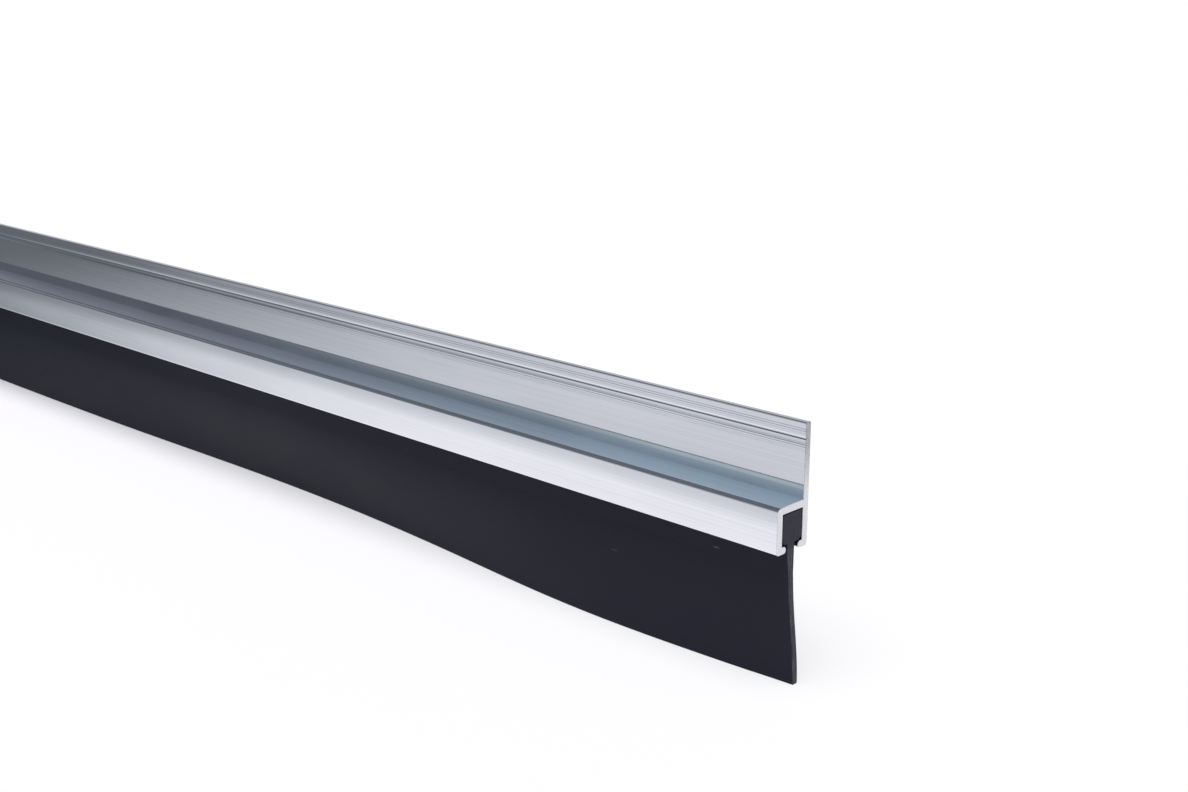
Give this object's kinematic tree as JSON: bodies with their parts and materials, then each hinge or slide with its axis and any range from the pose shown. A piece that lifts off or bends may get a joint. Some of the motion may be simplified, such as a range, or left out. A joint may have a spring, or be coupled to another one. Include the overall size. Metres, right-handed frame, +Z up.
{
  "type": "garage door seal",
  "caption": "Straight door-bottom seal: an aluminium carrier strip with a fluted screw flange and a slotted channel that holds a sliding, gently wavy black rubber blade.",
  "frame": {"origin": "centre of the carrier's back face, the face that lies against the door", "axes": "+X along the strip towards the cut end that shows its section, +Y out of the back face towards the door, +Z up"},
  "size_m": [1, 0.0112, 0.0538],
  "materials": {
    "mill_aluminium": "bright mill finish with fine die lines along the strip and sawn ends",
    "black_rubber": "smooth satin extruded rubber with a matt cut end"
  },
  "bodies": {
    "carrier": {"aluminium_carrier": "mill_aluminium"},
    "blade": {"rubber_blade": "black_rubber"}
  },
  "joints": [
    {"name": "blade_slide", "type": "slide", "parent": "carrier", "child": "blade", "axis": [1, 0, 0], "range_m": [-0.95, 0.95]}
  ]
}
